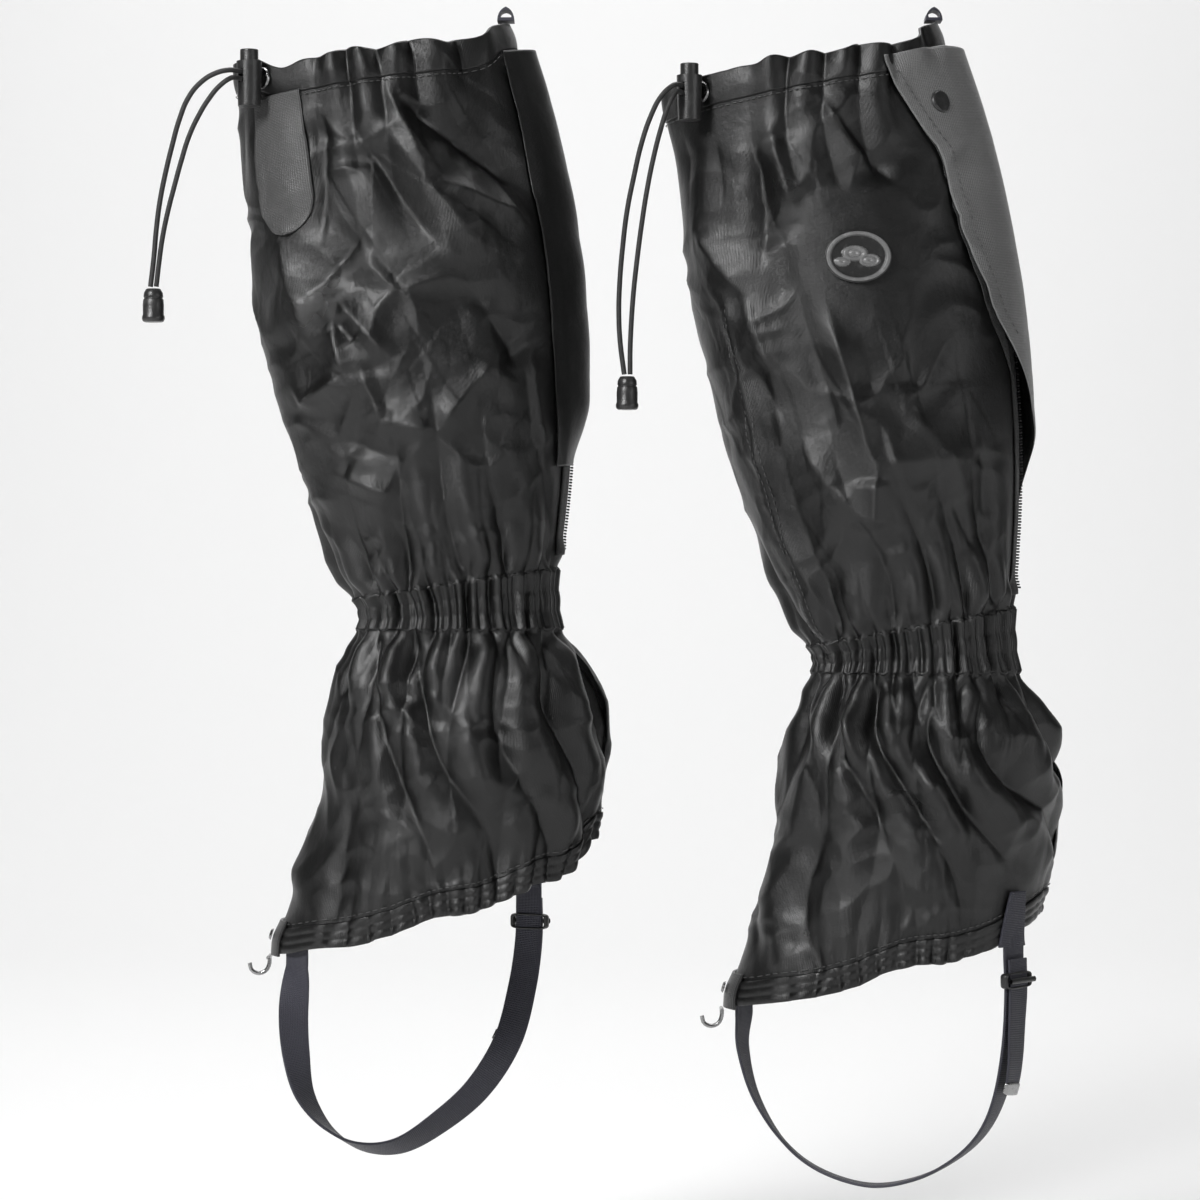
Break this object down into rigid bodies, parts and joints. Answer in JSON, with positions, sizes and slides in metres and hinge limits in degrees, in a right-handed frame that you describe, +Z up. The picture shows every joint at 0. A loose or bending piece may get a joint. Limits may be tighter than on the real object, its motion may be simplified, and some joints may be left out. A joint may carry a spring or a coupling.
{
  "type": "hiking gaiters",
  "caption": "Pair of knee-high hiking gaiters with elastic ankle and hem, top drawcord with lock, zip under a flap, lace hook and instep strap.",
  "frame": {"origin": "top of the right gaiter's hanging loop, at the heel side of its top edge", "axes": "+Z up, -X towards the toes, +X towards the heels, +Y to the wearer's right as the gaiters hang"},
  "size_m": [0.4331, 0.1082, 0.569],
  "materials": {
    "nylon": "black coated nylon, fine weave, soft sheen",
    "grey_nylon": "dark grey coated nylon",
    "elastic": "black knitted elastic and zip tape",
    "webbing": "blue-black woven webbing",
    "cord": "black braided elastic cord",
    "hook_and_loop": "black hook-and-loop tape",
    "plastic": "black moulded plastic",
    "badge": "moulded rubbery badge, plain",
    "nickel": "nickel-plated steel"
  },
  "bodies": {
    "right_gaiter": {"right_calf_shell": "nylon", "right_cord_channel": "nylon", "right_ankle_elastic": "elastic", "right_foot_shell": "nylon", "right_hem_elastic": "elastic", "right_hanging_loop": "webbing", "right_zip_tape": "elastic", "right_zip_teeth": "plastic", "right_loop_strip": "hook_and_loop", "right_snap_stud": "nickel", "right_eyelet": "nickel", "right_outer_strand": "cord", "right_inner_strand": "cord", "right_cord_end": "plastic", "right_hook_tab": "webbing", "right_hook_rivet": "nickel", "right_strap_anchor": "webbing", "right_lock_tongue": "grey_nylon"},
    "right_storm_flap": {"right_storm_flap": "grey_nylon", "right_hook_strip": "hook_and_loop", "right_snap_cap": "nickel"},
    "right_zip_slider": {"right_zip_slider": "nickel"},
    "right_zip_pull": {"right_zip_pull": "nickel"},
    "right_cord_lock": {"right_cord_lock_body": "plastic", "right_cord_lock_spring": "nickel"},
    "right_cord_lock_button": {"right_cord_lock_button": "plastic"},
    "right_lace_hook": {"right_lace_hook": "nickel"},
    "right_instep_strap": {"right_instep_strap": "webbing", "right_strap_tail": "webbing", "right_strap_buckle": "plastic"},
    "left_gaiter": {"left_calf_shell": "nylon", "left_cord_channel": "nylon", "left_ankle_elastic": "elastic", "left_foot_shell": "nylon", "left_hem_elastic": "elastic", "left_hanging_loop": "webbing", "left_zip_tape": "elastic", "left_zip_teeth": "plastic", "left_loop_strip": "hook_and_loop", "left_snap_stud": "nickel", "left_eyelet": "nickel", "left_outer_strand": "cord", "left_inner_strand": "cord", "left_cord_end": "plastic", "left_hook_tab": "webbing", "left_hook_rivet": "nickel", "left_strap_anchor": "webbing", "left_badge": "badge"},
    "left_storm_flap": {"left_storm_flap": "grey_nylon", "left_hook_strip": "hook_and_loop", "left_snap_cap": "nickel"},
    "left_zip_slider": {"left_zip_slider": "nickel"},
    "left_zip_pull": {"left_zip_pull": "nickel"},
    "left_cord_lock": {"left_cord_lock_body": "plastic", "left_cord_lock_spring": "nickel"},
    "left_cord_lock_button": {"left_cord_lock_button": "plastic"},
    "left_lace_hook": {"left_lace_hook": "nickel"},
    "left_instep_strap": {"left_instep_strap": "webbing", "left_strap_tail": "webbing", "left_strap_buckle": "plastic"}
  },
  "joints": [
    {"name": "right_flap_opens", "type": "hinge", "parent": "right_gaiter", "child": "right_storm_flap", "pos_m": [0.02549, -0.02127, -0.11391], "axis": [0.1356, 0, -0.9908], "range_deg": [0, 88]},
    {"name": "right_zip_runs", "type": "hinge", "parent": "right_gaiter", "child": "right_zip_slider", "pos_m": [-0.47019, 0, -0.18168], "axis": [0, 1, 0], "range_deg": [0, 23.9]},
    {"name": "right_zip_pull_lifts", "type": "hinge", "parent": "right_zip_slider", "child": "right_zip_pull", "pos_m": [0.01956, 0, -0.04651], "axis": [0, -1, 0], "range_deg": [0, 10]},
    {"name": "right_cord_lock_slides", "type": "slide", "parent": "right_gaiter", "child": "right_cord_lock", "axis": [-0.6447, -0.7644, 0], "range_m": [0, 0.003]},
    {"name": "right_cord_lock_pressed", "type": "slide", "parent": "right_cord_lock", "child": "right_cord_lock_button", "axis": [0, 0, -1], "range_m": [0, 0.004], "stiffness_N_per_m": 500, "springref_m": -0.002, "deforming": ["right_cord_lock_spring"]},
    {"name": "right_lace_hook_swings", "type": "hinge", "parent": "right_gaiter", "child": "right_lace_hook", "pos_m": [-0.11304, 0, -0.45513], "axis": [0, 1, 0], "range_deg": [-10, 60]},
    {"name": "right_strap_swings", "type": "hinge", "parent": "right_gaiter", "child": "right_instep_strap", "pos_m": [-0.09793, -0.01904, -0.45837], "axis": [0.8479, 0.4807, 0.2234], "range_deg": [-45, 45]},
    {"name": "left_flap_opens", "type": "hinge", "parent": "left_gaiter", "child": "left_storm_flap", "pos_m": [0.23515, 0.02126, -0.11985], "axis": [-0.1714, 0, 0.9852], "range_deg": [0, 88]},
    {"name": "left_zip_runs", "type": "hinge", "parent": "left_gaiter", "child": "left_zip_slider", "pos_m": [-0.34096, 0, -0.22007], "axis": [0, 1, 0], "range_deg": [0, 22.5]},
    {"name": "left_zip_pull_lifts", "type": "hinge", "parent": "left_zip_slider", "child": "left_zip_pull", "pos_m": [0.22541, 0, -0.04592], "axis": [0, -1, 0], "range_deg": [0, 10]},
    {"name": "left_cord_lock_slides", "type": "slide", "parent": "left_gaiter", "child": "left_cord_lock", "axis": [-0.6426, -0.7662, 0], "range_m": [0, 0.003]},
    {"name": "left_cord_lock_pressed", "type": "slide", "parent": "left_cord_lock", "child": "left_cord_lock_button", "axis": [0, 0, -1], "range_m": [0, 0.004], "stiffness_N_per_m": 500, "springref_m": -0.002, "deforming": ["left_cord_lock_spring"]},
    {"name": "left_lace_hook_swings", "type": "hinge", "parent": "left_gaiter", "child": "left_lace_hook", "pos_m": [0.10399, 0, -0.48047], "axis": [0, 1, 0], "range_deg": [-10, 60]},
    {"name": "left_strap_swings", "type": "hinge", "parent": "left_gaiter", "child": "left_instep_strap", "pos_m": [0.115, 0.01409, -0.4844], "axis": [0.9094, -0.3413, 0.2375], "range_deg": [-45, 45]},
    {"name": "left_gaiter_moves", "type": "slide", "parent": "right_gaiter", "child": "left_gaiter", "axis": [1, 0, 0], "range_m": [0, 0.25]}
  ]
}
